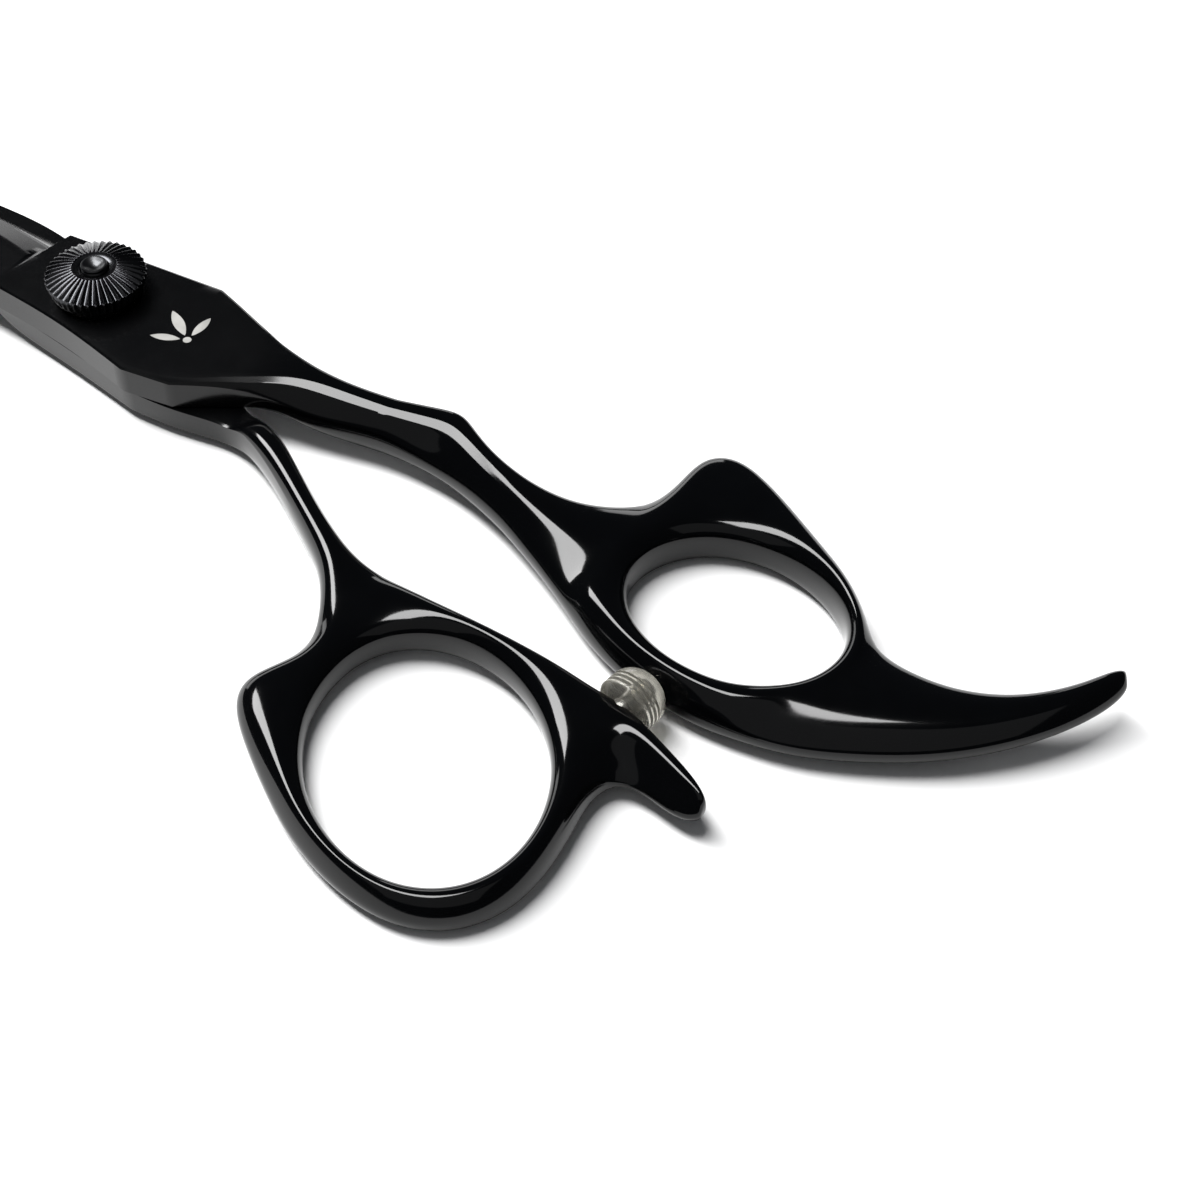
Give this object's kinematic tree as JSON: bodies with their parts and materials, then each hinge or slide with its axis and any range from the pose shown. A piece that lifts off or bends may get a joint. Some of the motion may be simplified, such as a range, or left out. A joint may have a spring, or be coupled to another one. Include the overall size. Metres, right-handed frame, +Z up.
{
  "type": "hair cutting shears",
  "caption": "Pair of black-coated offset hair cutting shears with finger ring, curved tang, thumb ring, fluted tension dial and clear stop bumper, lying closed.",
  "frame": {"origin": "centre of the pivot screw's flat head, on the plane the closed shears lie on", "axes": "+X from the pivot towards the handles, +Y towards the side the cutting edge of the upper blade faces, +Z up, from the screw head to the tension dial"},
  "size_m": [0.1693, 0.0581, 0.0098],
  "materials": {
    "coated_steel": "glossy black coating on steel",
    "coated_screw": "turned, black coated",
    "coated_dial": "fluted, satin black coating",
    "bronze": "machined",
    "ball_steel": "polished",
    "spring_steel": "satin",
    "polymer": "matte",
    "stud_metal": "threaded",
    "clear_bumper": "translucent soft silicone"
  },
  "bodies": {
    "finger_side": {"finger_blade": "coated_steel", "pivot_bush": "bronze", "glide_washer": "polymer"},
    "thumb_side": {"thumb_blade": "coated_steel", "pivot_screw": "coated_screw", "click_plate": "spring_steel", "wave_spring": "spring_steel", "bumper": "clear_bumper", "bumper_stud": "stud_metal"},
    "dial": {"tension_dial": "coated_dial", "detent_ball_1": "ball_steel", "detent_ball_2": "ball_steel"},
    "bearing": {"bearing_cage": "bronze", "bearing_ball_1": "ball_steel", "bearing_ball_2": "ball_steel", "bearing_ball_3": "ball_steel", "bearing_ball_4": "ball_steel", "bearing_ball_5": "ball_steel", "bearing_ball_6": "ball_steel", "bearing_ball_7": "ball_steel", "bearing_ball_8": "ball_steel"}
  },
  "joints": [
    {"name": "blades_open", "type": "hinge", "parent": "finger_side", "child": "thumb_side", "pos_m": [0, 0, 0.00337], "axis": [0, 0, -1], "range_deg": [0, 95]},
    {"name": "tension_turn", "type": "hinge", "parent": "thumb_side", "child": "dial", "pos_m": [0, 0, 0.008], "axis": [0, 0, 1], "range_deg": [-180, 180]},
    {"name": "bearing_roll", "type": "hinge", "parent": "finger_side", "child": "bearing", "pos_m": [0, 0, 0.00337], "axis": [0, 0, -1], "range_deg": [0, 47.5]}
  ],
  "couplings": [
    {"joint": "bearing_roll", "follows": "blades_open", "ratio": 0.5}
  ]
}
